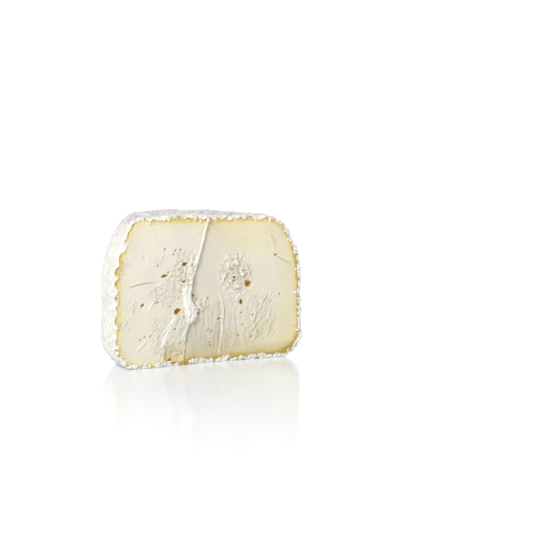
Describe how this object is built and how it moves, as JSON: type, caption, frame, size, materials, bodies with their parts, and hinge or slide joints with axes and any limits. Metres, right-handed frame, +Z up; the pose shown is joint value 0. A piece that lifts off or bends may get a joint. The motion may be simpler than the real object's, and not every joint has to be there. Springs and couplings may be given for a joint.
{
  "type": "half crottin goat cheese",
  "caption": "Half of a small drum of goat cheese standing on its base: a flat cut face of ivory paste with a torn step and small eyes, inside a thin wrinkled white rind.",
  "frame": {"origin": "on the drum's own axis at its flat base, just behind the cut face", "axes": "+Z up, -Y out of the cut face, +X along the cut face to its right"},
  "size_m": [0.0505, 0.0282, 0.0363],
  "materials": {
    "rind": "dry bloomy rind, wrinkled, near white with ivory valleys and a faint blue-grey bloom",
    "paste": "soft moist ivory paste, faintly translucent, more yellow just under the rind"
  },
  "bodies": {
    "root": {"cheese_half": "rind"}
  },
  "joints": []
}
